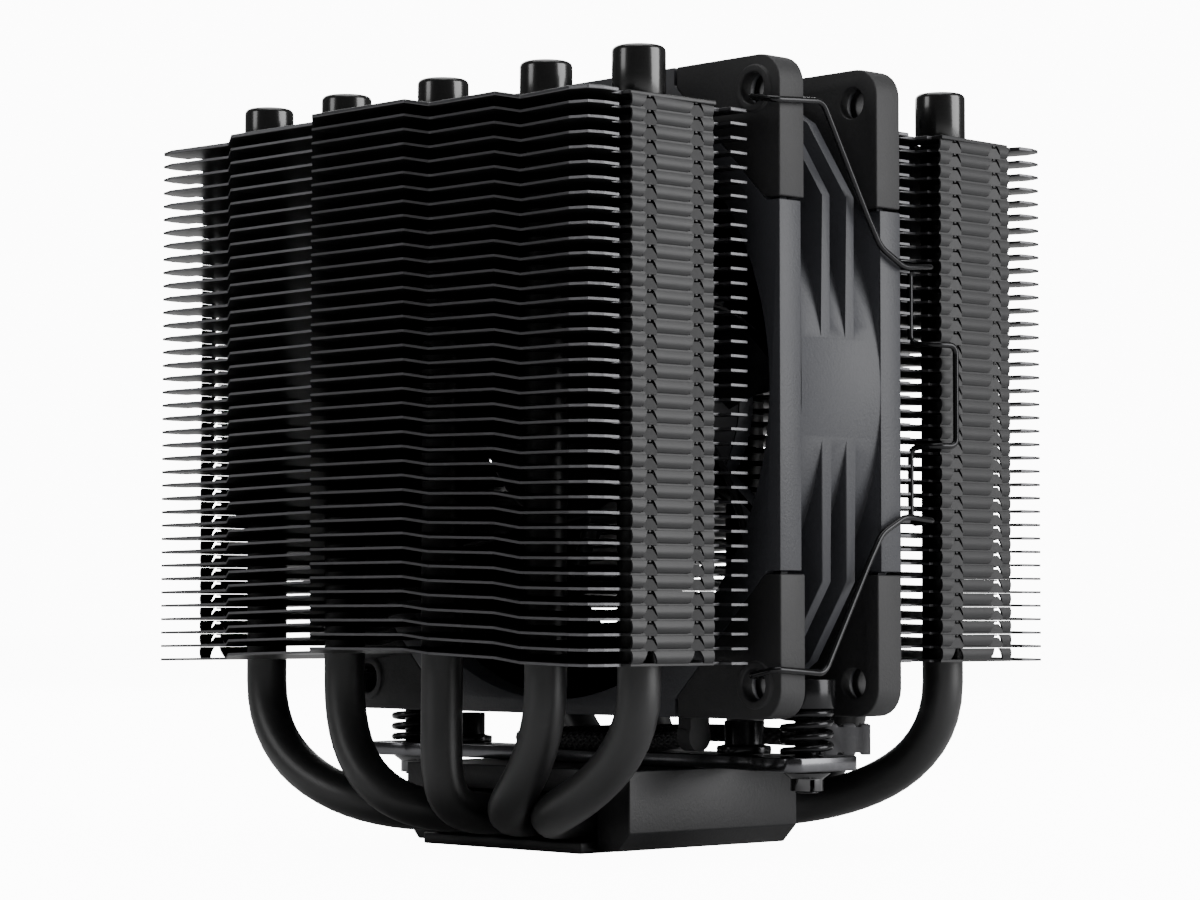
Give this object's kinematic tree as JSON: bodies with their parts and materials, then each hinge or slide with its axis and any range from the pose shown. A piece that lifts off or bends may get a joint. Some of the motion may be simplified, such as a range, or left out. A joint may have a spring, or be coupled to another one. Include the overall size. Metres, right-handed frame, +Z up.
{
  "type": "cpu tower cooler",
  "caption": "Twin-tower processor cooler: finned towers on U-shaped heat pipes, a clipped axial fan between them, and a base block under a spring-screw mounting bar.",
  "frame": {"origin": "centre of the cold plate's contact face", "axes": "+Z up from the contact face along the pipe legs, +X along the fan's airflow from the front tower to the rear tower, +Y across the towers away from the near side"},
  "size_m": [0.0946, 0.099, 0.1114],
  "materials": {
    "black_steel": "glossy black coated steel",
    "braided_sleeve": "black braided sleeve",
    "bright_steel": "bright turned steel",
    "bronze": "sintered bronze",
    "circuit_board": "green solder mask",
    "coated_base": "satin black anodised block with fine grain",
    "coated_fins": "satin black coating over thin aluminium fins, bare grey along the cut edges",
    "coated_pipes": "satin black coating over copper pipe",
    "cold_plate": "black plated copper, finely milled contact face",
    "connector_plastic": "moulded grey-black nylon",
    "frame_plastic": "moulded charcoal plastic with a fine texture",
    "gloss_caps": "gloss black cap with a rounded rim",
    "magnet": "dark bonded ferrite",
    "plated_bar": "black nickel plated steel strap, bright on its edges",
    "rotor_plastic": "moulded black plastic",
    "rubber": "matte black silicone rubber"
  },
  "bodies": {
    "cooler": {"bar_pillar_far": "black_steel", "bar_pillar_near": "black_steel", "base_block": "coated_base", "bearing_sleeve": "bronze", "circuit_board": "circuit_board", "cold_plate": "cold_plate", "fan_barrel": "frame_plastic", "fan_connector": "connector_plastic", "fan_flange_front": "frame_plastic", "fan_flange_rear": "frame_plastic", "fan_lead": "braided_sleeve", "fan_motor_mount": "frame_plastic", "fan_pad_front_lower_far": "rubber", "fan_pad_front_lower_near": "rubber", "fan_pad_front_upper_far": "rubber", "fan_pad_front_upper_near": "rubber", "fan_pad_rear_lower_far": "rubber", "fan_pad_rear_lower_near": "rubber", "fan_pad_rear_upper_far": "rubber", "fan_pad_rear_upper_near": "rubber", "fin_stack_front": "coated_fins", "fin_stack_rear": "coated_fins", "heat_pipe_1": "coated_pipes", "heat_pipe_2": "coated_pipes", "heat_pipe_3": "coated_pipes", "heat_pipe_4": "coated_pipes", "heat_pipe_5": "coated_pipes", "lead_relief": "rubber", "mounting_bar": "plated_bar", "pipe_cap_front_1": "gloss_caps", "pipe_cap_front_2": "gloss_caps", "pipe_cap_front_3": "gloss_caps", "pipe_cap_front_4": "gloss_caps", "pipe_cap_front_5": "gloss_caps", "pipe_cap_rear_1": "gloss_caps", "pipe_cap_rear_2": "gloss_caps", "pipe_cap_rear_3": "gloss_caps", "pipe_cap_rear_4": "gloss_caps", "pipe_cap_rear_5": "gloss_caps", "screw_spring_far": "black_steel", "screw_spring_near": "black_steel", "stator": "bright_steel", "top_fin_front": "coated_fins", "top_fin_rear": "coated_fins"},
    "rotor": {"impeller": "rotor_plastic", "magnet_ring": "magnet", "rotor_shaft": "bright_steel"},
    "near_collar": {"screw_collar_near": "bright_steel"},
    "near_screw": {"spring_screw_near": "black_steel"},
    "far_collar": {"screw_collar_far": "bright_steel"},
    "far_screw": {"spring_screw_far": "black_steel"},
    "near_clip": {"fan_clip_near": "black_steel"},
    "far_clip": {"fan_clip_far": "black_steel"}
  },
  "joints": [
    {"name": "impeller_spin", "type": "hinge", "parent": "cooler", "child": "rotor", "pos_m": [0, -0.0028, 0.0654], "axis": [1, 0, 0], "continuous": true},
    {"name": "near_screw_press", "type": "slide", "parent": "cooler", "child": "near_collar", "axis": [0, 0, 1], "range_m": [-0.0016, 0], "stiffness_N_per_m": 2500, "springref_m": 0.003, "deforming": ["screw_spring_near"]},
    {"name": "near_screw_turn", "type": "hinge", "parent": "near_collar", "child": "near_screw", "pos_m": [0, -0.042, 0.0228], "axis": [0, 0, 1], "continuous": true},
    {"name": "far_screw_press", "type": "slide", "parent": "cooler", "child": "far_collar", "axis": [0, 0, 1], "range_m": [-0.0016, 0], "stiffness_N_per_m": 2500, "springref_m": 0.003, "deforming": ["screw_spring_far"]},
    {"name": "far_screw_turn", "type": "hinge", "parent": "far_collar", "child": "far_screw", "pos_m": [0, 0.042, 0.0228], "axis": [0, 0, 1], "continuous": true},
    {"name": "near_clip_swing", "type": "hinge", "parent": "cooler", "child": "near_clip", "pos_m": [-0.0125, -0.04405, 0.0654], "axis": [0, 0, -1], "range_deg": [0, 35]},
    {"name": "far_clip_swing", "type": "hinge", "parent": "cooler", "child": "far_clip", "pos_m": [-0.0125, 0.03845, 0.0654], "axis": [0, 0, 1], "range_deg": [0, 35]}
  ]
}
